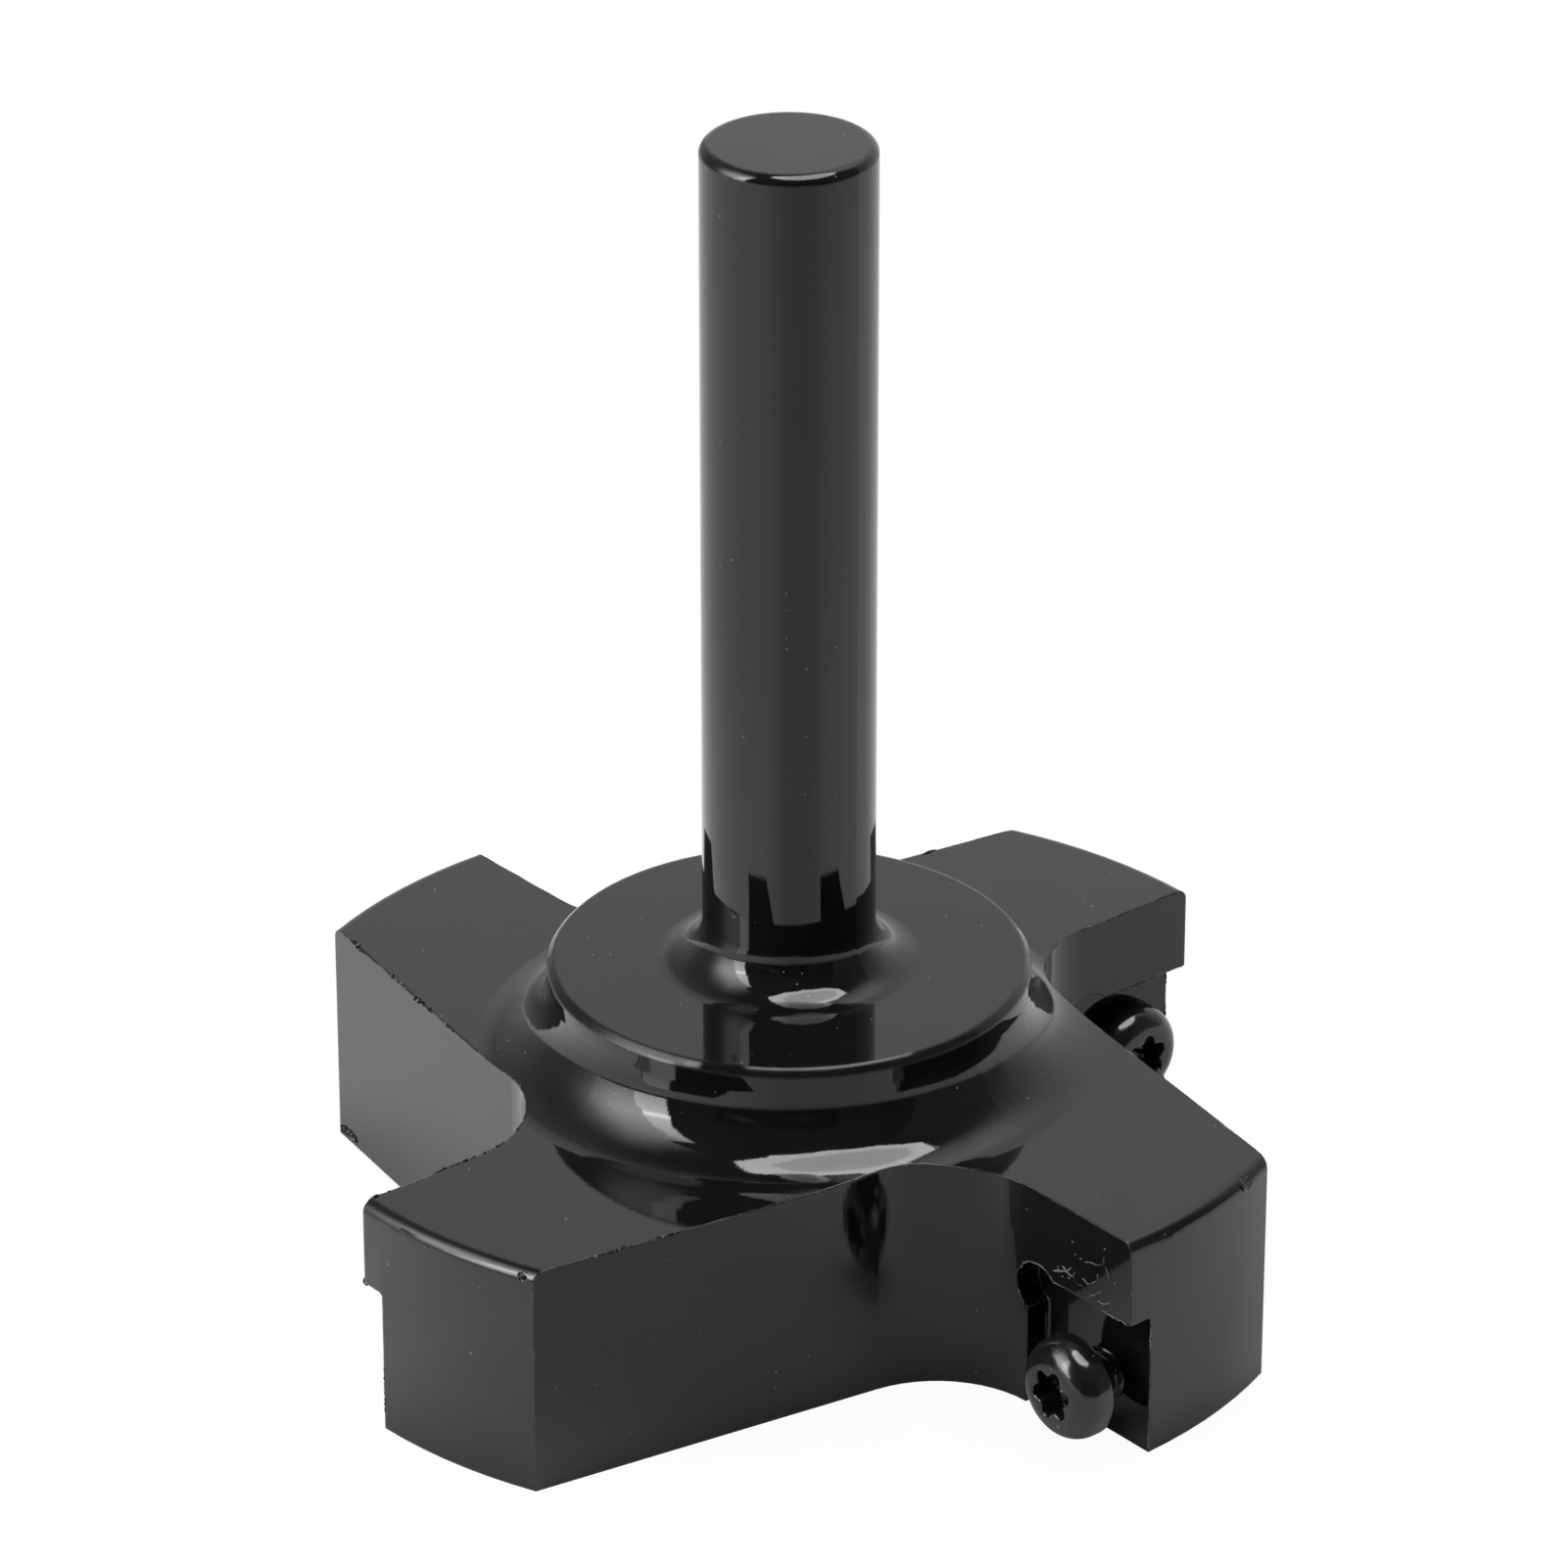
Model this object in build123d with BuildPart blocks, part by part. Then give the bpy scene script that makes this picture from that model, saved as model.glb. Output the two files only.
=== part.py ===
from build123d import *
from math import cos, radians, sin, sqrt
import os

os.makedirs("parts", exist_ok=True)

# Surfacing router bit: a one-piece turned and milled steel body with four thick arms, and
# pan head screws in three of its four empty insert seats, the first of them backed out.
# All sizes are millimetres. The origin is on the axis, in the plane of the arms' undersides,
# +Z runs up the shank, and the first arm points along +X.
# Seen from above, each arm has its cutting face on its clockwise side and its back on the other.

# Shank: the plain round bar that the collet grips
shank_diameter = 12.7
shank_length = 64.05
shank_end_radius = 0.75
shank_root_radius = 3.3

# Hub: the round boss under the shank, run into the arms by a turned hollow
hub_diameter = 35.6
hub_rise = 7.05
hub_rim_chamfer = 0.5
hub_blend_radius = 5.25

# Arms: thick wings with their tips turned to one diameter
arm_count = 4
tip_diameter = 77.4
arm_thickness = 17.8
arm_rim_radius = 0.9

# Sides of an arm: how far each tip corner lies from the arm's centre line,
# and by how many degrees each side leans from that line on its way to the hub
face_offset = 7.7
face_rake = 10.0
back_offset = 8.3
back_slope = 20.0
gullet_radius = 8.6
gullet_overrun = 8.0

# Insert seat: a shallow step milled into the cutting face, open below and at the tip,
# with a round relief where the insert's corner would be
seat_depth = 2.0
seat_length = 10.9
seat_height = 11.15
seat_floor_radius = 0.4
seat_overrun = 3.0
relief_diameter = 4.4
relief_inset = 1.1
relief_drop = 1.45

# Insert screws: their place on the seat floor, and how far each head stands off it, arm by
# arm from the first round to the third; the fourth arm's screw has been taken out
screw_from_tip = 4.45
screw_above_base = 4.8
screw_length = 8.0
head_standoffs = [2.7, 0.0, 0.0]

# Screw head, and the thread drawn at its core with the tapping hole close round it
head_diameter = 7.7
head_height = 2.8
head_side_height = 1.6
head_flat_diameter = 5.2
thread_diameter = 4.0
thread_depth = 0.45
thread_clearance = 0.05
hole_spare_depth = 1.5

# Six-lobe recess in the head
lobe_count = 6
recess_diameter = 3.94
recess_waist = 2.82
recess_scallop_radius = 0.86
recess_depth = 1.9

# What follows from the sizes above
shank_radius = shank_diameter / 2
hub_radius = hub_diameter / 2
tip_radius = tip_diameter / 2
hub_top = arm_thickness + hub_rise
shank_top = hub_top + shank_length
arm_spacing = 360.0 / arm_count
face_tip_x = sqrt(tip_radius**2 - face_offset**2)
back_tip_x = sqrt(tip_radius**2 - back_offset**2)
core_radius = thread_diameter / 2 - thread_depth
hole_radius = core_radius + thread_clearance
hole_depth = screw_length + hole_spare_depth
head_radius = head_diameter / 2

# Lines of a gullet, each from a tip corner towards the hub: the first arm's cutting face,
# and the back of the arm on its clockwise side
face_corner = Vector(face_tip_x, -face_offset)
face_direction = Vector(-cos(radians(face_rake)), sin(radians(face_rake)))
back_corner = Vector(back_tip_x, back_offset).rotate(Axis.Z, -arm_spacing)
back_direction = Vector(-cos(radians(back_slope)), sin(radians(back_slope))).rotate(
    Axis.Z, -arm_spacing
)
corner_gap = face_corner - back_corner
root_reach = corner_gap.cross(face_direction).Z / back_direction.cross(face_direction).Z
gullet_root = back_corner + back_direction * root_reach
gullet_outside = Vector(1, 0).rotate(Axis.Z, -arm_spacing / 2) * tip_diameter

# Square-on planes of the cutting face and of the seat floor, with their origins below the
# tip corner: x runs out to the tip, y runs up and z points away from the arm
face_plane = Plane(
    origin=face_corner,
    x_dir=-face_direction,
    z_dir=Vector(0, 0, 1).cross(face_direction),
)
floor_plane = face_plane.offset(-seat_depth)
screw_plane = Plane(
    origin=floor_plane.from_local_coords((-screw_from_tip, screw_above_base)),
    x_dir=floor_plane.x_dir,
    z_dir=floor_plane.z_dir,
)


def lengthwise(plane):
    """Plane through this one's x axis and z axis, with x kept and y along the old z."""
    return Plane(origin=plane.origin, x_dir=plane.x_dir, z_dir=-plane.y_dir)


def carried_round(plane, turn):
    """The same plane, carried round the axis of the bit by this many degrees."""
    return Plane(Location((0, 0, 0), (0, 0, turn)) * plane.location)


# One gullet, round at its root and open past the tips, cut right through
with BuildPart() as gullet_cut:
    with BuildSketch():
        with BuildLine():
            FilletPolyline(
                back_corner - back_direction * gullet_overrun,
                gullet_root,
                face_corner - face_direction * gullet_overrun,
                gullet_outside,
                radius=[0, gullet_radius, 0, 0],
                close=True,
            )
        make_face()
    extrude(amount=hub_top)

# One insert seat, its floor corners rounded by the end mill
with BuildPart() as seat_cut:
    with BuildSketch(floor_plane):
        with Locations((seat_overrun, -seat_overrun)):
            Rectangle(
                seat_length + seat_overrun,
                seat_height + seat_overrun,
                align=(Align.MAX, Align.MIN),
            )
    extrude(amount=seat_depth + seat_overrun)
    seat_floor = seat_cut.faces().sort_by(Axis(floor_plane.origin, floor_plane.z_dir))[0]
    fillet(seat_floor.edges(), radius=seat_floor_radius)

# The relief plunged at the seat's inner corner, down to the same floor
with BuildPart() as relief_cut:
    with BuildSketch(floor_plane):
        with Locations((relief_inset - seat_length, seat_height - relief_drop)):
            Circle(relief_diameter / 2)
    extrude(amount=seat_depth + seat_overrun)

# One blind tapping hole in the seat floor
with BuildPart() as screw_hole_cut:
    with BuildSketch(screw_plane):
        Circle(hole_radius)
    extrude(amount=-hole_depth)

# Body: arms, hub and shank turned as one bar, then milled between and into the arms
with BuildPart() as cutter_body:
    with BuildSketch(Plane.XZ):
        with BuildLine():
            FilletPolyline(
                (0, 0),
                (tip_radius, 0),
                (tip_radius, arm_thickness),
                (hub_radius, arm_thickness),
                (hub_radius, hub_top - hub_rim_chamfer),
                (hub_radius - hub_rim_chamfer, hub_top),
                (shank_radius, hub_top),
                (shank_radius, shank_top),
                (0, shank_top),
                radius=[
                    0,
                    0,
                    arm_rim_radius,
                    hub_blend_radius,
                    0,
                    0,
                    shank_root_radius,
                    shank_end_radius,
                    0,
                ],
                close=True,
            )
        make_face()
    revolve(axis=Axis.Z)
    with PolarLocations(0, arm_count):
        add(gullet_cut.part, mode=Mode.SUBTRACT)
        add(seat_cut.part, mode=Mode.SUBTRACT)
        add(relief_cut.part, mode=Mode.SUBTRACT)
        add(screw_hole_cut.part, mode=Mode.SUBTRACT)

cutter_body.part.label = "cutter_body"
export_step(cutter_body.part, "parts/cutter_body.step")

# Screws: the same pan head screw in each of these seats, driven home or standing off the floor
for index, standoff in enumerate(head_standoffs):
    seat = carried_round(screw_plane, index * arm_spacing)
    under_head = seat.offset(standoff)
    with BuildPart() as insert_screw:
        # Half of the screw's outline: head with its sloped shoulder, and thread core
        with BuildSketch(lengthwise(under_head)):
            with BuildLine():
                Polyline(
                    (0, head_height),
                    (0, -screw_length),
                    (core_radius, -screw_length),
                    (core_radius, 0),
                    (head_radius, 0),
                    (head_radius, head_side_height),
                    (head_flat_diameter / 2, head_height),
                    close=True,
                )
            make_face()
        revolve(axis=Axis(under_head.origin, under_head.z_dir))

        # Recess: a round hole with its rim drawn in between the lobes
        with BuildSketch(under_head.offset(head_height)):
            Circle(recess_diameter / 2)
            with PolarLocations(
                recess_waist / 2 + recess_scallop_radius,
                lobe_count,
                start_angle=180.0 / lobe_count,
            ):
                Circle(recess_scallop_radius, mode=Mode.SUBTRACT)
        extrude(amount=-recess_depth, mode=Mode.SUBTRACT)

    insert_screw.part.label = f"insert_screw_{index + 1}"
    export_step(insert_screw.part, f"parts/insert_screw_{index + 1}.step")
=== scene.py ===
import bpy
import numpy as np
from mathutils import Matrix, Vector


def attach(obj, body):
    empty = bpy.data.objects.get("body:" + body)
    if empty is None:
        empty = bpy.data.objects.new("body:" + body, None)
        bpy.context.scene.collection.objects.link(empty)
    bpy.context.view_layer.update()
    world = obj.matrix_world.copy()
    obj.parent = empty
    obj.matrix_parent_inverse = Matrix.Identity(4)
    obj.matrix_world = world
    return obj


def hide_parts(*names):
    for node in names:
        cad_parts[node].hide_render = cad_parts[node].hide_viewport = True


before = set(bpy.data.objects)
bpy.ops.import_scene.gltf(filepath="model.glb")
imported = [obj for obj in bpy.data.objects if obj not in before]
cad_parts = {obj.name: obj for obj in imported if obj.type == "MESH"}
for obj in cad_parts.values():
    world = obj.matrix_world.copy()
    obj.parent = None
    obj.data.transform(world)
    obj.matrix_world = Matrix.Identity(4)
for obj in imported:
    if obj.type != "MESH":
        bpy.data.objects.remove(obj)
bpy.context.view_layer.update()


# Cutter body: shank, hub and four thick arms turned and milled from one bar of steel.
# It is dipped in a thin gloss black enamel, which rounds off the milled corners only a little
# and keeps the burrs, faint streaks, chips and settled dust of a part fresh from packing.
millimetre = 0.001


def new_group(name, inputs, outputs):
    """An empty shader node group and its two end nodes. Its inputs are given as (name, kind, value)
    and its outputs as (name, kind)."""
    group = bpy.data.node_groups.new(name, "ShaderNodeTree")
    for label, kind, value in inputs:
        socket = group.interface.new_socket(label, in_out="INPUT", socket_type=kind)
        if value is not None:
            socket.default_value = value
    for label, kind in outputs:
        group.interface.new_socket(label, in_out="OUTPUT", socket_type=kind)
    return group, group.nodes.new("NodeGroupInput"), group.nodes.new("NodeGroupOutput")


def add_node(tree, kind, settings=None, **inputs):
    """A node with its settings, and its inputs given as values or as sockets to link. An input goes
    by its name, with _ for a space, or by i and its number."""
    node = tree.nodes.new(kind)
    for key, value in (settings or {}).items():
        setattr(node, key, value)
    for key, value in inputs.items():
        numbered = key[0] == "i" and key[1:].isdigit()
        socket = node.inputs[int(key[1:]) if numbered else key.replace("_", " ")]
        if isinstance(value, bpy.types.NodeSocket):
            tree.links.new(value, socket)
        else:
            socket.default_value = value
    return node


def maths(tree, operation, *values):
    """The result of one operation on values that are numbers or sockets."""
    numbered = {f"i{k}": value for k, value in enumerate(values)}
    return add_node(tree, "ShaderNodeMath", {"operation": operation}, **numbered).outputs[0]


def ranged(tree, value, start, end, at_start=0.0, at_end=1.0):
    """A value carried in a straight line from one range to another, and held past both its ends."""
    return add_node(tree, "ShaderNodeMapRange", Value=value, i1=start, i2=end, i3=at_start,
                    i4=at_end).outputs[0]


def noise(tree, position, scale, detail, roughness):
    """A value that wanders about a half over the surface, in so many features to the millimetre."""
    return add_node(tree, "ShaderNodeTexNoise", Vector=position, Scale=scale, Detail=detail,
                    Roughness=roughness).outputs["Fac"]


def mixed(tree, share, first, second):
    """A colour between two: the first at a share of nought and the second at a share of one."""
    return add_node(tree, "ShaderNodeMix", {"data_type": "RGBA"}, i0=share, i6=first, i7=second).outputs[2]


def new_material(name):
    """A material whose node tree is empty, and the tree."""
    material = bpy.data.materials.new(name)
    material.use_nodes = True
    material.node_tree.nodes.clear()
    return material, material.node_tree


def position_in_mm(tree):
    """The place on the piece, in millimetres from the middle of the part's underside."""
    place = add_node(tree, "ShaderNodeTexCoord")
    return add_node(tree, "ShaderNodeMapping", Vector=place.outputs["Object"],
                    Scale=(1 / millimetre,) * 3).outputs["Vector"]


# Dust: pale specks of several sizes that lie scattered on the enamel, none of them touching.
# Each cell draws a number, and a high power of it gives the speck's size, so that few are large
speck_rarity = 4.0
dust, dust_in, dust_out = new_group(
    "settled_dust",
    [("Position", "NodeSocketVector", None), ("Per mm", "NodeSocketFloat", 0.5),
     ("Size", "NodeSocketFloat", 0.05)],
    [("Mask", "NodeSocketFloat")],
)
cells = add_node(dust, "ShaderNodeTexVoronoi", {"feature": "F1"}, Vector=dust_in.outputs["Position"],
                 Scale=dust_in.outputs["Per mm"], Randomness=1.0)
cell_draw = add_node(dust, "ShaderNodeSeparateColor", i0=cells.outputs["Color"])
rare = maths(dust, "POWER", cell_draw.outputs["Red"], speck_rarity)
speck_radius = maths(dust, "MULTIPLY", rare, dust_in.outputs["Size"])
speck = maths(dust, "LESS_THAN", cells.outputs["Distance"], speck_radius)
dust.links.new(speck, dust_out.inputs["Mask"])

# Milled edge: the enamel rounds the corner by a radius that wavers along it. Where the rounded
# normal leaves the flat one, the burr breaks the corner into short ragged marks
burr_lift = 0.12 * millimetre
edge, edge_in, edge_out = new_group(
    "milled_edge",
    [("Position", "NodeSocketVector", None), ("Radius", "NodeSocketFloat", 0.0002),
     ("Burr", "NodeSocketFloat", 0.5)],
    [("Normal", "NodeSocketVector"), ("Burr", "NodeSocketFloat")],
)
edge_position = edge_in.outputs["Position"]
waver = ranged(edge, noise(edge, edge_position, scale=1.1, detail=4.0, roughness=0.65), 0.35, 0.65, -0.4, 0.4)
wavering = maths(edge, "MULTIPLY_ADD", waver, edge_in.outputs["Burr"], 1.0)
width = maths(edge, "MULTIPLY", wavering, edge_in.outputs["Radius"])
rounded = add_node(edge, "ShaderNodeBevel", {"samples": 6}, Radius=width)
flat = add_node(edge, "ShaderNodeNewGeometry")
agree = add_node(edge, "ShaderNodeVectorMath", {"operation": "DOT_PRODUCT"}, i0=rounded.outputs[0],
                 i1=flat.outputs["Normal"])
on_corner = ranged(edge, agree.outputs["Value"], 0.995, 0.85)
patches = ranged(edge, noise(edge, edge_position, scale=0.35, detail=2.0, roughness=0.5), 0.46, 0.56)
teeth = ranged(edge, noise(edge, edge_position, scale=3.2, detail=3.0, roughness=0.7), 0.48, 0.58)
marks = maths(edge, "MULTIPLY", maths(edge, "MULTIPLY", patches, teeth), on_corner)
burred = maths(edge, "MULTIPLY", marks, edge_in.outputs["Burr"])
lifted = add_node(edge, "ShaderNodeBump", Strength=1.0, Distance=burr_lift, Height=burred,
                  Normal=rounded.outputs[0])
edge.links.new(lifted.outputs[0], edge_out.inputs["Normal"])
edge.links.new(burred, edge_out.inputs["Burr"])

# Chip: a small ragged spot round one point where the enamel has flaked off an edge. The distance
# from that point, made ragged, is set against the size, with a border that falls away softly
raggedness, border = 0.9, 0.3
chip, chip_in, chip_out = new_group(
    "enamel_chip",
    [("Position", "NodeSocketVector", None), ("Centre", "NodeSocketVector", None),
     ("Size", "NodeSocketFloat", 0.5)],
    [("Mask", "NodeSocketFloat")],
)
ragged = noise(chip, chip_in.outputs["Position"], scale=2.4, detail=2.0, roughness=0.6)
away = add_node(chip, "ShaderNodeVectorMath", {"operation": "DISTANCE"}, i0=chip_in.outputs["Position"],
                i1=chip_in.outputs["Centre"])
ragged_away = maths(chip, "MULTIPLY_ADD", ragged, raggedness, away.outputs["Value"])
chip_rim = maths(chip, "ADD", chip_in.outputs["Size"], raggedness / 2)
chip_floor = maths(chip, "SUBTRACT", chip_rim, border)
chip.links.new(ranged(chip, ragged_away, chip_rim, chip_floor), chip_out.inputs["Mask"])

# Enamel: nearly black, faintly streaked up the bit and finely grained. It rounds the turned rim
# of the hub more widely than the milled edges, and the rim has no burr
thin_black, thick_black = (0.003, 0.003, 0.0032, 1), (0.006, 0.006, 0.0062, 1)
pale_dust = (0.42, 0.42, 0.43, 1)
milled_rounding, hub_rim_rounding = 0.22 * millimetre, 0.42 * millimetre
hub_rim_out, hub_rim_up = (16.2, 16.6), (23.3, 23.7)
dust_cover, burr_cover, cover_roughness, flake_roughness = 0.26, 0.22, 0.8, 0.45
flake_depth, skin_depth = 0.1 * millimetre, 0.04 * millimetre
chips = (
    ((7.5, -38.2, 17.4), 0.55),
    ((38.25, 5.35, 17.25), 0.6),
    ((38.4, -4.4, 17.2), 0.2),
    ((-38.0, -8.6, 0.4), 0.9),
    ((0.0, -6.35, 30.9), 0.3),
)
enamel, tree = new_material("gloss_black_enamel")
position = position_in_mm(tree)
flattened = add_node(tree, "ShaderNodeVectorMath", {"operation": "MULTIPLY"}, i0=position, i1=(1, 1, 0))
from_axis = add_node(tree, "ShaderNodeVectorMath", {"operation": "LENGTH"}, i0=flattened.outputs[0])
split = add_node(tree, "ShaderNodeSeparateXYZ", i0=position)
far_out = ranged(tree, from_axis.outputs["Value"], *hub_rim_out)
high_up = ranged(tree, split.outputs["Z"], *hub_rim_up)
hub_rim = maths(tree, "MULTIPLY", far_out, high_up)
rounding = ranged(tree, hub_rim, 0.0, 1.0, milled_rounding, hub_rim_rounding)
milled = maths(tree, "SUBTRACT", 1.0, hub_rim)
edges = add_node(tree, "ShaderNodeGroup", {"node_tree": edge}, Position=position, Radius=rounding,
                 Burr=milled)
specks = add_node(tree, "ShaderNodeGroup", {"node_tree": dust}, Position=position, Per_mm=1.0, Size=0.1)
film = noise(tree, position, scale=0.28, detail=3.0, roughness=0.5)
drawn_up = add_node(tree, "ShaderNodeMapping", Vector=position, Scale=(1.0, 1.0, 0.03))
streaks = noise(tree, drawn_up.outputs["Vector"], scale=2.6, detail=3.0, roughness=0.6)
grain = noise(tree, position, scale=7.0, detail=2.0, roughness=0.5)
flakes = None
for centre, size in chips:
    flake = add_node(tree, "ShaderNodeGroup", {"node_tree": chip}, Position=position, Centre=centre,
                     Size=size).outputs["Mask"]
    flakes = flake if flakes is None else maths(tree, "MAXIMUM", flakes, flake)
dusty = maths(tree, "MULTIPLY", specks.outputs["Mask"], dust_cover)
covered = maths(tree, "MULTIPLY_ADD", edges.outputs["Burr"], burr_cover, dusty)
colour = mixed(tree, covered, mixed(tree, film, thin_black, thick_black), pale_dust)
gloss = ranged(tree, streaks, 0.3, 0.7, 0.02, 0.05)
flaked = maths(tree, "MULTIPLY_ADD", flakes, flake_roughness, gloss)
matt = maths(tree, "MULTIPLY_ADD", covered, cover_roughness, flaked)
pits = add_node(tree, "ShaderNodeBump", {"invert": True}, Strength=1.0, Distance=flake_depth, Height=flakes,
                Normal=edges.outputs["Normal"])
relief = maths(tree, "MULTIPLY_ADD", grain, 0.25, streaks)
skin = add_node(tree, "ShaderNodeBump", Strength=0.06, Distance=skin_depth, Height=relief,
                Normal=pits.outputs[0])
paint = add_node(tree, "ShaderNodeBsdfPrincipled", Base_Color=colour, Roughness=matt, IOR=1.5,
                 Normal=skin.outputs[0])
add_node(tree, "ShaderNodeOutputMaterial", Surface=paint.outputs[0])

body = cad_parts["cutter_body"]
body.data.materials.clear()
body.data.materials.append(enamel)


# Burr: the thin ragged lip that the end mill turns up along the edges of the gullets and
# seats. It is part of the steel, is left on under the enamel, and comes and goes along an edge.
bare_edge, lip_spacing = 0.002, 0.13
tip_radius, arm_top, rim_radius = 38.7, 17.8, 0.9
hub_radius, blend_radius = 17.8, 5.25
face_offset, face_rake, back_offset, back_slope = 7.7, np.radians(10), 8.3, np.radians(20)
gullet_radius = 8.6
seat_height, seat_depth = 11.15, 2.0
relief_centre, relief_radius = np.array([9.8, 9.7]), 2.2


def strands(name, paths):
    """Tubes of five sides in one mesh, from a list of paths with their thicknesses: a point lies at
    its path's point plus its thickness times the cosine and the sine of its side's angle, along two
    directions square to the path. The end rings are closed by one face each."""
    sides = 5
    angle = np.arange(sides) * 2 * np.pi / sides
    verts, faces, start = [], [], 0
    for points, thickness in paths:
        along = np.gradient(points, axis=0)
        along /= np.linalg.norm(along, axis=1)[:, None]
        across = np.cross(along, np.where(np.abs(along[:, 2:]) > 0.9, (1.0, 0.0, 0.0), (0.0, 0.0, 1.0)))
        across /= np.linalg.norm(across, axis=1)[:, None]
        over = np.cross(across, along)
        ring = np.cos(angle)[None, :, None] * across[:, None] + np.sin(angle)[None, :, None] * over[:, None]
        verts.append((points[:, None] + thickness[:, None, None] * ring).reshape(-1, 3))
        row, step = np.meshgrid(np.arange(len(points) - 1), np.arange(sides), indexing="ij")
        here, beside = row * sides + step, row * sides + (step + 1) % sides
        quads = start + np.stack([here, beside, beside + sides, here + sides], -1).reshape(-1, 4)
        last = start + (len(points) - 1) * sides
        faces += quads.tolist()
        faces += [list(range(start + sides - 1, start - 1, -1)), list(range(last, last + sides))]
        start += len(points) * sides
    mesh = bpy.data.meshes.new(name)
    mesh.from_pydata(np.vstack(verts) * millimetre, [], faces)
    mesh.shade_smooth()
    mesh.update()
    piece = bpy.data.objects.new(name, mesh)
    bpy.context.scene.collection.objects.link(piece)
    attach(piece, "root")
    return piece


def resampled(corners, spacing):
    """Evenly spaced points along a line through these corners, found by its length so far."""
    corners = np.array(corners, float)
    so_far = np.concatenate([[0], np.cumsum(np.linalg.norm(np.diff(corners, axis=0), axis=1))])
    wanted = np.linspace(0, so_far[-1], max(int(so_far[-1] / spacing), 4))
    return np.stack([np.interp(wanted, so_far, corners[:, k]) for k in range(corners.shape[1])], -1)


def ragged_lip(count, chance, thinnest, thickest, rng):
    """Thickness along a lip: runs of about a dozen points, so many of them bare, with teeth inside a
    run as a random number squared, and drawn to nothing at both ends."""
    run, fade = 14, 0.12
    knots = np.arange(0, count + run, run)
    runs = np.interp(np.arange(count), knots, rng.random(count // run + 2)[: len(knots)])
    teeth = rng.random(count)
    lip = np.clip((chance - runs) / fade, 0, 1) * (thinnest + (thickest - thinnest) * teeth**2)
    lip[[0, -1]] = 0.0
    return np.maximum(lip, bare_edge)


def tapered(count, thickest, short):
    """Thickness along a lump: the thickest times half a sine wave, which stops this far short of
    nought at both ends."""
    return thickest * np.sin(np.linspace(short, np.pi - short, count))


def quarter_turned(arm):
    """The matrix that carries a point of the first arm round the axis to another, by the cosine
    and the sine of so many quarter turns."""
    c, s = round(np.cos(arm * np.pi / 2)), round(np.sin(arm * np.pi / 2))
    return np.array([[c, -s, 0], [s, c, 0], [0, 0, 1]], float)


rng = np.random.default_rng(7)

# The top edge of the gullet between the fourth arm and the first: two straight sides that meet at
# a root, rounded by an arc, at the height of the arm's top, its rim or the hollow up to the hub
face_corner = np.array([np.sqrt(tip_radius**2 - face_offset**2), -face_offset])
face_way = np.array([-np.cos(face_rake), np.sin(face_rake)])
face_normal = np.array([-np.sin(face_rake), -np.cos(face_rake), 0.0])
back_corner = np.array([back_offset, -np.sqrt(tip_radius**2 - back_offset**2)])
back_way = np.array([np.sin(back_slope), np.cos(back_slope)])
run_to_root = np.linalg.solve(np.stack([face_way, -back_way], 1), back_corner - face_corner)
gullet_root = face_corner + run_to_root[0] * face_way
mouth_way = -(face_way + back_way) / np.linalg.norm(face_way + back_way)
half_turn = np.arccos(face_way @ back_way) / 2
arc_centre = gullet_root + mouth_way * gullet_radius / np.sin(half_turn)
half_arc = np.linspace(-1, 1, 40)[::-1] * (np.pi / 2 - half_turn)
arc_angle = np.arctan2(-mouth_way[1], -mouth_way[0]) + half_arc
arc = arc_centre + gullet_radius * np.stack([np.cos(arc_angle), np.sin(arc_angle)], -1)
gullet_edge = resampled(np.vstack([back_corner, arc, face_corner]), lip_spacing)
off_axis = np.linalg.norm(gullet_edge, axis=1)
short_of_blend = np.maximum(hub_radius + blend_radius - off_axis, 0)
on_blend = arm_top + blend_radius - np.sqrt(np.maximum(blend_radius**2 - short_of_blend**2, 0))
over_rim = np.maximum(off_axis - (tip_radius - rim_radius), 0)
on_rim = arm_top - rim_radius + np.sqrt(np.maximum(rim_radius**2 - over_rim**2, 0))
edge_height = np.where(off_axis < hub_radius + blend_radius, on_blend, on_rim)
gullet_edge = np.column_stack([gullet_edge, edge_height])


def on_face(inset_and_height, stand_off):
    """Points by the first arm's cutting face: the tip corner plus so far in along the face, at such a
    height, plus so far off along the face's normal."""
    inset_and_height = np.asarray(inset_and_height, float)
    flat = face_corner + inset_and_height[:, :1] * face_way
    return np.column_stack([flat, inset_and_height[:, 1]]) + stand_off * face_normal


# The seat's edges: its ceiling with the arc of the round relief, and its floor's corner at the tip
relief_angle = np.radians(np.linspace(-35, 139, 24))
relief_arc = relief_centre + relief_radius * np.stack([np.cos(relief_angle), np.sin(relief_angle)], -1)
ceiling_line = np.vstack([relief_arc, (8.0, seat_height), (0.1, seat_height)])
ceiling = on_face(resampled(ceiling_line, lip_spacing), 0.0)
seat_corner = on_face(resampled([(0.02, 0.3), (0.02, 11.0)], lip_spacing), -seat_depth)

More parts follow.
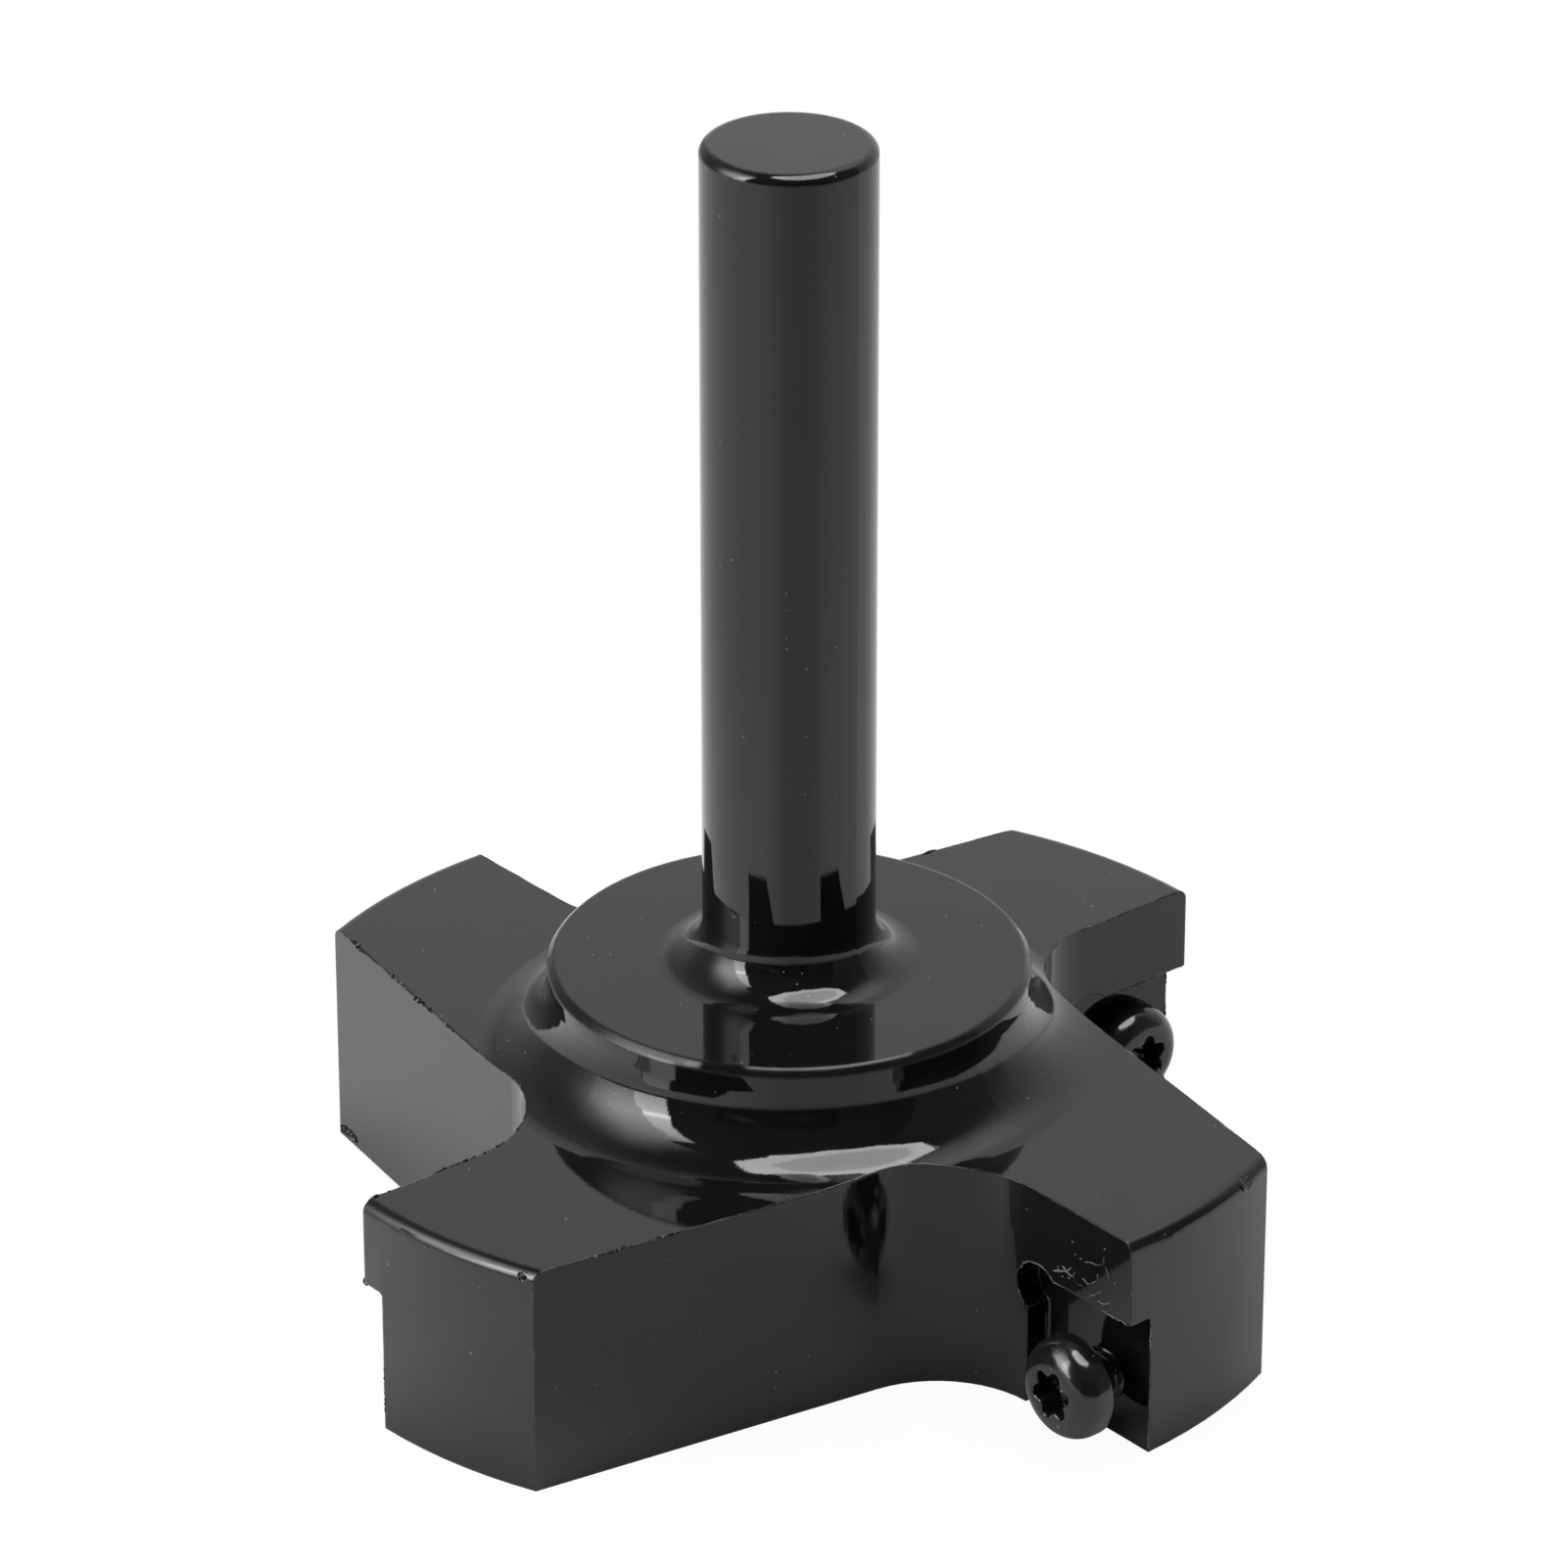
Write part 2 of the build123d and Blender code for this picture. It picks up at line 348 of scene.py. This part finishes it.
# Lips: the thickest burr of a gullet is given at the back of one arm and at the face of the next,
# gullet by gullet, and none lies where the hollow climbs steeply to the hub
gullet_burrs = ((0.17, 0.03), (0.02, 0.02), (0.03, 0.02), (0.28, 0.12))
thinnest, ceiling_burr, corner_burr, steep_radius = 0.02, 0.05, 0.07, 18.2
share_along = np.linspace(0, 1, len(gullet_edge))
lips = []
for arm, back_and_face in enumerate(gullet_burrs):
    gullet_burr = np.interp(share_along, (0.22, 0.45), back_and_face)
    for edge_line, chance, thickest in (
        (gullet_edge, 0.55, gullet_burr),
        (ceiling, 0.7, np.full(len(ceiling), ceiling_burr)),
        (seat_corner, 0.65, np.full(len(seat_corner), corner_burr)),
    ):
        lip = ragged_lip(len(edge_line), chance, thinnest, thickest, rng)
        lip[np.linalg.norm(edge_line[:, :2], axis=1) < steep_radius] = bare_edge
        jitter = rng.normal(0, 0.25, edge_line.shape) * thickest[:, None]
        lips.append(((edge_line + jitter) @ quarter_turned(arm).T, lip))

# Torn places: a bump on the second arm's top edge, a smear low on the third arm's back, and
# upright lumps by the chips on the rims of the first and fourth arms and at the fourth's seat
bump_line = resampled([(-10.95, 30.7, arm_top), (-11.25, 29.3, arm_top)], lip_spacing)
lips.append((bump_line, tapered(len(bump_line), 0.13, 0.05)))
smear = resampled([(-37.5, -8.35, 0.55), (-36.4, -8.75, 0.65), (-35.3, -9.15, 0.5)], lip_spacing)
lips.append((smear + rng.normal(0, 0.05, smear.shape), 0.16 + 0.2 * rng.random(len(smear))))
for lump_centre, length, thickness in (
    ((38.42, 4.6, 17.25), 0.7, 0.12),
    ((7.5, -38.0, 17.3), 0.4, 0.12),
    ((-8.0, -37.4, 11.0), 0.9, 0.3),
):
    half_length = np.array((0, 0, length / 2))
    lump = resampled([lump_centre - half_length, lump_centre + half_length], 0.1)
    lips.append((lump, tapered(len(lump), thickness, 0.15)))
burr = strands("milling_burr", lips)

# Its steel is mostly covered by the enamel, and bare only in small glints
covered_steel, bare_steel = (0.004, 0.004, 0.0042, 1), (0.16, 0.16, 0.165, 1)
torn_steel, tree = new_material("torn_burr")
glints = noise(tree, position_in_mm(tree), scale=2.5, detail=2.0, roughness=0.6)
tone = mixed(tree, ranged(tree, glints, 0.58, 0.66), covered_steel, bare_steel)
jagged = add_node(tree, "ShaderNodeBump", Strength=0.6, Distance=0.05 * millimetre, Height=glints)
steel = add_node(tree, "ShaderNodeBsdfPrincipled", Base_Color=tone, Roughness=0.42, IOR=1.5,
                 Specular_IOR_Level=0.25, Normal=jagged.outputs[0])
add_node(tree, "ShaderNodeOutputMaterial", Surface=steel.outputs[0])
burr.data.materials.append(torn_steel)


# Residue: grey strings of dried glue from the insert that was stuck there, curled on the first
# arm's cutting face over the empty seat and caught along its ceiling. A string is given as a
# line of insets and heights on that face, and its thickness.
strings = (
    (((5.9, 13.0), (6.1, 12.5), (5.7, 12.1), (5.1, 12.2)), 0.04),
    (((5.1, 12.9), (4.7, 12.6), (4.1, 12.8), (3.6, 13.3), (3.5, 13.8)), 0.045),
    (((8.2, 12.1), (7.4, 12.4), (6.7, 12.7), (6.3, 13.2)), 0.075),
    (((7.1, 12.9), (6.8, 12.6), (6.2, 12.5)), 0.06),
    (((4.9, 14.3), (4.2, 14.5), (3.5, 14.6), (2.9, 15.0), (2.9, 15.6)), 0.035),
    (((2.7, 14.8), (2.3, 14.2), (2.4, 13.5), (2.9, 12.8), (3.7, 12.1), (4.6, 11.5)), 0.03),
    (((3.5, 11.7), (2.8, 11.7), (2.1, 12.2)), 0.04),
)
crumbs = (
    (6.3, 15.3, 0.08), (6.0, 14.4, 0.06), (5.4, 14.3, 0.07), (2.9, 16.2, 0.06),
    (1.8, 13.9, 0.06), (7.3, 12.0, 0.07), (6.6, 12.2, 0.09), (7.8, 12.6, 0.05),
)
wear_run, glue_stand_off = 5, 0.02
rng = np.random.default_rng(11)
curls = []
for line, thickness in strings:
    track = resampled(line, 0.09)
    for _ in range(4):  # each point is drawn towards its neighbours
        track[1:-1] = (track[:-2] + 2 * track[1:-1] + track[2:]) / 4
    track = track + rng.normal(0, 0.035, track.shape)
    knots = np.arange(0, len(track) + wear_run, wear_run)
    worn = np.clip(np.interp(np.arange(len(track)), knots, 1.6 * rng.random(len(knots))), 0.15, 1)
    curls.append((on_face(track, glue_stand_off), thickness * worn))
for inset, up_face, thickness in crumbs:
    crumb = resampled([(inset, up_face), (inset - 0.2, up_face + 0.08)], 0.05)
    curls.append((on_face(crumb, glue_stand_off), tapered(len(crumb), thickness, 0.1)))
caught = ragged_lip(len(ceiling), 0.62, 0.012, 0.07, rng)
curls.append((ceiling + 0.03 * face_normal + rng.normal(0, 0.03, ceiling.shape), caught))
flecked = ragged_lip(len(seat_corner), 0.5, 0.015, 0.07, rng)
curls.append((seat_corner + rng.normal(0, 0.025, seat_corner.shape), flecked))
residue = strands("glue_residue", curls)

dark_glue, pale_glue = (0.03, 0.03, 0.031, 1), (0.26, 0.26, 0.265, 1)
dried_glue, tree = new_material("dried_glue")
mottle = noise(tree, position_in_mm(tree), scale=3.0, detail=3.0, roughness=0.6)
crust = add_node(tree, "ShaderNodeBump", Strength=0.5, Distance=0.04 * millimetre, Height=mottle)
gum = add_node(tree, "ShaderNodeBsdfPrincipled", Base_Color=mixed(tree, mottle, dark_glue, pale_glue),
               Roughness=0.45, IOR=1.5, Normal=crust.outputs[0])
add_node(tree, "ShaderNodeOutputMaterial", Surface=gum.outputs[0])
residue.data.materials.append(dried_glue)


# Insert screws: short pan head machine screws with a six-lobe recess, cold headed and
# thread rolled, then blackened and oiled. The one on the first arm is backed out, the next
# two are driven home on their seat floors, and the fourth arm has none.
head_radius, head_height = 3.85, 2.8
crown_start, crown_flat = 0.9, 2.1
screw_length, core_radius = 8.0, 1.55
thread_depth, thread_pitch = 0.45, 0.7
recess_mean, recess_swing, lobe_bluntness, recess_depth = 1.72, 0.27, 0.05, 1.9
steps_round, rows_along = 96, 96
seat_point = (33.891, -4.957, 4.8)
out_to_tip = (0.984808, -0.173648, 0.0)
off_the_seat = (-0.173648, -0.984808, 0.0)
upright = np.array([0.0, 0.0, 1.0])
standoffs = (2.7, 0.0, 0.0)
recess_turns = (14.0, 20.0, 35.0)


def lobed_radius(angle):
    """Radius of the recess outline: a mean radius plus a cosine that peaks six times round it, less
    a little of the cosine squared, which makes the lobes blunt and the waists between them wide."""
    wave = np.cos(6 * angle)
    return recess_mean + recess_swing * wave - lobe_bluntness * wave**2


def closed_profile_mesh(name, radius, height, centre, x_axis, y_axis, z_axis):
    """A mesh from two arrays of rows by steps round an axis: each point lies at its radius from the
    axis, turned by its step's angle, and at its height along it. The first and last rows are
    the poles, where the radius is nought, and one point closes each."""
    rows, around = radius.shape
    angle = np.arange(around) * 2 * np.pi / around
    ring = (radius * np.cos(angle))[..., None] * x_axis + (radius * np.sin(angle))[..., None] * y_axis
    points = centre + ring + height[..., None] * z_axis
    inner = points[1:-1].reshape(-1, 3)
    verts = np.vstack([points[0, :1], inner, points[-1, :1]]) * millimetre
    row, step = np.meshgrid(np.arange(rows - 3), np.arange(around), indexing="ij")
    here = 1 + row * around + step
    beside = 1 + row * around + (step + 1) % around
    quads = np.stack([here, beside, beside + around, here + around], -1).reshape(-1, 4)
    first = 1 + np.arange(around)
    first_next = 1 + (np.arange(around) + 1) % around
    last = first + (rows - 3) * around
    last_next = first_next + (rows - 3) * around
    start_fan = np.stack([np.zeros(around, int), first_next, first], -1)
    end_fan = np.stack([last, last_next, np.full(around, len(verts) - 1)], -1)
    mesh = bpy.data.meshes.new(name)
    mesh.from_pydata(verts, [], quads.tolist() + start_fan.tolist() + end_fan.tolist())
    mesh.shade_smooth()
    mesh.set_sharp_from_angle(angle=np.radians(38))
    mesh.update()
    piece = bpy.data.objects.new(name, mesh)
    bpy.context.scene.collection.objects.link(piece)
    return piece


def screw_rows(recess_turn):
    """Radius and height of every point of a screw, row by row from its point up round the head and
    down into the recess. The thread is a ridge whose height repeats once a pitch along the screw
    and once a turn round it; the crown is a quarter ellipse from the side to the flat."""
    angle = np.arange(steps_round) * 2 * np.pi / steps_round
    along = np.linspace(-screw_length, -0.05, rows_along)
    phase = (along[:, None] / thread_pitch - angle / (2 * np.pi)) % 1.0
    ridge = np.clip((0.5 - np.abs(phase - 0.5)) * 2.6 - 0.16, 0, 1)
    fade = np.clip((along + screw_length) / 0.9, 0, 1) * np.clip((-along - 0.1) / 0.5, 0, 1)
    point = 1 - 0.22 * np.clip(1 - (along + screw_length) / 0.5, 0, 1)
    thread = core_radius * point[:, None] + thread_depth * ridge * fade[:, None]
    rows = [(0.0, -screw_length), (core_radius * 0.55, -screw_length), *zip(thread, along)]
    rows += [(core_radius + 0.04, 0.0), (head_radius - 0.3, 0.0), (head_radius - 0.12, 0.03),
             (head_radius - 0.03, 0.12), (head_radius, 0.3)]
    for quarter in np.linspace(0, 1, 15) * np.pi / 2:
        rows.append((crown_flat + (head_radius - crown_flat) * np.cos(quarter),
                     crown_start + (head_height - crown_start) * np.sin(quarter)))
    lobes = lobed_radius(angle - np.radians(recess_turn))
    for widen, drop in ((0.13, 0.0), (0.06, 0.015), (0.015, 0.06), (0.0, 0.13)):
        rows.append((lobes + widen, head_height - drop))
    for share, drop in ((0.995, recess_depth - 0.12), (0.96, recess_depth), (0.5, recess_depth + 0.3)):
        rows.append((lobes * share, head_height - drop))
    rows.append((0.0, head_height - recess_depth - 0.45))
    return [np.array([np.broadcast_to(value, steps_round) for value in column]) for column in zip(*rows)]


worn_black, oiled_black = (0.004, 0.004, 0.0042, 1), (0.011, 0.011, 0.0115, 1)
fine_dust = (0.35, 0.35, 0.36, 1)
blackened, tree = new_material("blackened_screw_steel")
position = position_in_mm(tree)
edges = add_node(tree, "ShaderNodeGroup", {"node_tree": edge}, Position=position,
                 Radius=0.12 * millimetre, Burr=0.3)
specks = add_node(tree, "ShaderNodeGroup", {"node_tree": dust}, Position=position, Per_mm=1.3, Size=0.2)
oil = noise(tree, position, scale=1.4, detail=4.0, roughness=0.6)
dusty = maths(tree, "MULTIPLY", specks.outputs["Mask"], 0.3)
colour = mixed(tree, dusty, mixed(tree, oil, worn_black, oiled_black), fine_dust)
gloss = ranged(tree, oil, 0.3, 0.7, 0.09, 0.2)
skin = add_node(tree, "ShaderNodeBump", Strength=0.3, Distance=0.05 * millimetre, Height=oil,
                Normal=edges.outputs["Normal"])
steel = add_node(tree, "ShaderNodeBsdfPrincipled", Base_Color=colour, Roughness=gloss, IOR=1.6,
                 Normal=skin.outputs[0])
add_node(tree, "ShaderNodeOutputMaterial", Surface=steel.outputs[0])

for arm, (standoff, recess_turn) in enumerate(zip(standoffs, recess_turns)):
    outwards = quarter_turned(arm) @ np.array(out_to_tip)
    off_seat = quarter_turned(arm) @ np.array(off_the_seat)
    under_head = quarter_turned(arm) @ np.array(seat_point) + standoff * off_seat
    radius, height = screw_rows(recess_turn)
    screw = closed_profile_mesh(f"pan_head_screw_{arm + 1}", radius, height, under_head, outwards,
                                upright, off_seat)
    screw.data.materials.append(blackened)
    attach(screw, "root")
    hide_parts(f"insert_screw_{arm + 1}")


# Studio: a white tabletop and round it, in places and strengths that follow what the enamel
# mirrors in the photograph, an octagonal soft box overhead, a strip box standing at the left, a
# paper sweep that carries its glow round behind, and a black front with the camera's stand.
def towards(azimuth):
    """Unit vector on the floor: nought degrees is towards -Y and ninety towards +X."""
    a = np.radians(azimuth)
    return np.array([np.sin(a), -np.cos(a), 0.0])


def glowing_grid(name, points, glow, tint=(1.0, 1.0, 1.0, 1.0)):
    """A surface through a grid of points, one quad between each four of them, that shines by the
    glow stored at each point. The camera doesn't see it, only the enamel and the floor do."""
    rows, columns = glow.shape
    row, column = np.meshgrid(np.arange(rows - 1), np.arange(columns - 1), indexing="ij")
    corner = row * columns + column
    quads = np.stack([corner, corner + 1, corner + columns + 1, corner + columns], -1).reshape(-1, 4)
    mesh = bpy.data.meshes.new(name)
    mesh.from_pydata(points.reshape(-1, 3), [], quads.tolist())
    mesh.attributes.new("glow", "FLOAT", "POINT").data.foreach_set("value", glow.astype(np.float32).ravel())
    lamp = bpy.data.objects.new(name, mesh)
    bpy.context.scene.collection.objects.link(lamp)
    lamp.visible_camera = False
    material, tree = new_material(name)
    stored = add_node(tree, "ShaderNodeAttribute", {"attribute_name": "glow"})
    light = add_node(tree, "ShaderNodeEmission", Color=tint, Strength=stored.outputs["Fac"])
    add_node(tree, "ShaderNodeOutputMaterial", Surface=light.outputs[0])
    lamp.data.materials.append(material)


# Octagonal soft box overhead: an inner baffle, and round it a brighter rim. Each ring of points
# has its share of the radius, its brightness and how far it is shifted
box_radius = 0.222
box_side, box_depth = towards(132), towards(222)
box_centre = 0.108 * box_side - 0.052 * box_depth + 0.56 * upright
ring_share, ring_glow = np.array([0.0, 0.66, 0.72, 1.0]), np.array([5.7, 6.0, 8.4, 8.9])
ring_shift = np.array([0.0, 0.012, 0.012, 0.0])
eighths = np.radians(np.arange(0, 361, 45))
spokes = np.cos(eighths)[:, None] * box_side + np.sin(eighths)[:, None] * box_depth
octagon = (box_centre + ring_shift[:, None, None] * box_side
           + box_radius * ring_share[:, None, None] * spokes)
glowing_grid("octagon_box", octagon, np.repeat(ring_glow[:, None], len(eighths), 1))

# Strip box: stands at the left of the bit and leans to one side, with a brighter bar across it a
# third of the way up and a fainter border beside its left edge
strip_away, strip_facing = 0.66, -20.5
border_left, strip_right, seam = -0.135, 0.066, 0.004
up_strip = np.array([0.04, 0.14, 0.24, 0.30, 0.315, 0.365, 0.38, 0.48, 0.64, 0.80, 0.93, 1.0])
strip_left = np.interp(up_strip, (0.04, 0.37, 0.55, 0.80, 0.93, 1.0),
                       (-0.130, -0.09, -0.07, -0.035, -0.005, 0.035))
strip_light = np.array([5.9, 7.3, 9.0, 9.8, 16.0, 16.0, 10.0, 9.0, 7.5, 6.2, 5.0, 4.2])
border_light = 0.62 * np.minimum(strip_light, 10.0)
sides = np.stack([np.full_like(up_strip, border_left), strip_left - seam, strip_left,
                  np.full_like(up_strip, strip_right)], 1)
strip = (strip_away * towards(strip_facing) + sides[..., None] * towards(strip_facing + 90)
         + up_strip[:, None, None] * upright)
glowing_grid("strip_box", strip, np.stack([border_light, border_light, strip_light, strip_light], 1))

# Stand: the camera's foot and an arm beside it, two dim brown blurs low in the black front. The
# larger leans at half a right angle; each falls off by a bell curve of its own two widths
arm_beside, arm_over, foot_beside, foot_over = -0.28, 0.235, 0.08, 0.18
beside, over = np.meshgrid(np.linspace(-0.5, 0.3, 41), np.linspace(0.04, 0.42, 21), indexing="ij")
along = (beside - arm_beside + over - arm_over) / np.sqrt(2)
across = (over - arm_over - beside + arm_beside) / np.sqrt(2)
blur = 0.26 * np.exp(-((along / 0.11) ** 2) - (across / 0.045) ** 2)
blur += 0.08 * np.exp(-(((beside - foot_beside) / 0.09) ** 2) - ((over - foot_over) / 0.08) ** 2)
stand = 0.75 * towards(40) + beside[..., None] * towards(130) + over[..., None] * upright
glowing_grid("camera_stand", stand, blur, tint=(1.0, 0.84, 0.8, 1.0))

# Sweep: a dome of paper from the strip box round behind the bit to its right. The strip
# box's own glow on it fades out sideways, and later so the higher it is. Behind the bit the paper
# gets brighter towards the octagonal box. All are read between a few directions. The paper's foot
# is lifted a little beside the strip box
sweep_radius, sweep_start, sweep_end, sweep_top = 0.72, 28, 264, 72
turn, climb_share = np.meshgrid(np.linspace(sweep_start, sweep_end, 237), np.linspace(0, 1, 61),
                                indexing="ij")
foot_lift = 3
lowest = foot_lift * np.clip((60 - turn) / 20, 0, 1)
climb = lowest + climb_share * (sweep_top - lowest)
sideways, upwards = np.radians(-turn), np.radians(climb)
dome = sweep_radius * np.stack([np.sin(sideways) * np.cos(upwards), -np.cos(sideways) * np.cos(upwards),
                                np.sin(upwards)], -1)
plain = np.interp(turn, (28, 85, 110, 121, 131, 145, 160, 180, 210, 220, 230, 264),
                  (0.2, 0.24, 0.43, 0.45, 0.90, 0.95, 0.80, 0.76, 0.46, 0.22, 0.15, 0.15))
upper_fade = np.interp(climb, (0, 22, 30, 50, 66, 72), (1.0, 0.98, 0.80, 0.68, 0.12, 0.1))
upper_rise = np.interp(climb, (0, 12, 38, 44, 52, 62, 72), (1.2, 1.0, 0.97, 1.25, 1.84, 1.6, 1.2))
behind = np.clip((turn - 145) / 15, 0, 1) * np.clip((215 - turn) / 20, 0, 1)
fade_out = np.interp(climb, (12, 36, 52, 60), (49, 54, 57, 71))
softness = np.interp(climb, (12, 36, 52), (5.0, 5.5, 9.0))
strip_glow = np.interp(climb, (3, 12, 20, 28, 36, 44, 52, 60, 68),
                       (2.7, 4.3, 5.3, 6.1, 5.3, 4.3, 3.3, 1.2, 0.1))
strip_glow = strip_glow / (1 + np.exp((turn - fade_out) / softness))
glowing_grid("paper_sweep", dome, plain * (upper_rise * behind + upper_fade * (1 - behind)) + strip_glow)

# Tabletop: matt white paper, with a painted shade that darkens it before the camera where the black front
# stands, and a painted pool of light that glows close to the bit on the strip box's side. To the camera it is
# all one white
table_reach = 6
corners = [(x * table_reach, y * table_reach, 0) for x, y in ((-1, -1), (1, -1), (1, 1), (-1, 1))]
tabletop = bpy.data.meshes.new("tabletop")
tabletop.from_pydata(corners, [], [(0, 1, 2, 3)])
floor = bpy.data.objects.new("tabletop", tabletop)
bpy.context.scene.collection.objects.link(floor)

paper_white, shaded_white, spill_glow, seen_glow = 0.635, 0.465, 0.31, 0.95
white_paper, tree = new_material("white_tabletop")
place = add_node(tree, "ShaderNodeTexCoord").outputs["Object"]
leftwards = add_node(tree, "ShaderNodeVectorMath", {"operation": "DOT_PRODUCT"}, i0=place,
                     i1=tuple(towards(-50)))
# Painted pool of light: the paper glows near the bit on the strip box's side, unshadowed by the part
spill = ranged(tree, leftwards.outputs["Value"], 0.0, 40 * millimetre, 0.0, spill_glow)
from_bit = add_node(tree, "ShaderNodeVectorMath", {"operation": "LENGTH"}, i0=place)
near = ranged(tree, from_bit.outputs["Value"], 60 * millimetre, 110 * millimetre, 1.0, 0.3)
outward = add_node(tree, "ShaderNodeVectorMath", {"operation": "NORMALIZE"}, i0=place)
frontwards = add_node(tree, "ShaderNodeVectorMath", {"operation": "DOT_PRODUCT"}, i0=outward.outputs[0],
                      i1=tuple(towards(50)))
# Painted shade: the paper's white is darkened where it faces the black front before the camera
shaded = ranged(tree, frontwards.outputs["Value"], 0.77, 0.966, paper_white, shaded_white)
grey = add_node(tree, "ShaderNodeCombineColor", i0=shaded, i1=shaded, i2=shaded)
matt_white = add_node(tree, "ShaderNodeBsdfDiffuse", Color=grey.outputs[0])
bounce = add_node(tree, "ShaderNodeEmission", Strength=maths(tree, "MULTIPLY", spill, near))
lit = add_node(tree, "ShaderNodeAddShader", i0=matt_white.outputs[0], i1=bounce.outputs[0])
seen_white = add_node(tree, "ShaderNodeEmission", Strength=1.0)
path = add_node(tree, "ShaderNodeLightPath")
seen = maths(tree, "MULTIPLY", path.outputs["Is Camera Ray"], seen_glow)
either = add_node(tree, "ShaderNodeMixShader", i0=seen, i1=lit.outputs[0], i2=seen_white.outputs[0])
add_node(tree, "ShaderNodeOutputMaterial", Surface=either.outputs[0])
tabletop.materials.append(white_paper)

# Room: nearly dark to the part, and white to the camera
room_light, camera_white = 0.048, 1.0
scene = bpy.context.scene
room = bpy.data.worlds.new("room")
scene.world = room
room.use_nodes = True
tree = room.node_tree
tree.nodes.clear()
dark = add_node(tree, "ShaderNodeBackground", Color=(1, 1, 1, 1), Strength=room_light)
pale = add_node(tree, "ShaderNodeBackground", Color=(1, 1, 1, 1), Strength=camera_white)
path = add_node(tree, "ShaderNodeLightPath")
either = add_node(tree, "ShaderNodeMixShader", i0=path.outputs["Is Camera Ray"], i1=dark.outputs[0],
                  i2=pale.outputs[0])
add_node(tree, "ShaderNodeOutputWorld", Surface=either.outputs[0])
scene.view_settings.view_transform = "Standard"
scene.view_settings.look = "None"

# Camera: a long lens close to a product photographer's, looking down on the bit from between its
# first and fourth arms, so that two seats with their screws are turned to it
azimuth, elevation, distance = np.radians(39.96), 0.467, 0.599941
looked_at = Vector((0, 0, 0.038846))
backwards = Vector((np.sin(azimuth) * np.cos(elevation), -np.cos(azimuth) * np.cos(elevation),
                    np.sin(elevation)))
lens = bpy.data.cameras.new("product_camera")
lens.sensor_width = 36.0
lens.lens = 190.16
lens.shift_x = -0.00316
lens.clip_start = 0.01
lens.clip_end = 50.0
camera = bpy.data.objects.new("product_camera", lens)
camera.location = looked_at + distance * backwards
camera.rotation_mode = "QUATERNION"
camera.rotation_quaternion = (-backwards).to_track_quat("-Z", "Y")
scene.collection.objects.link(camera)
scene.camera = camera
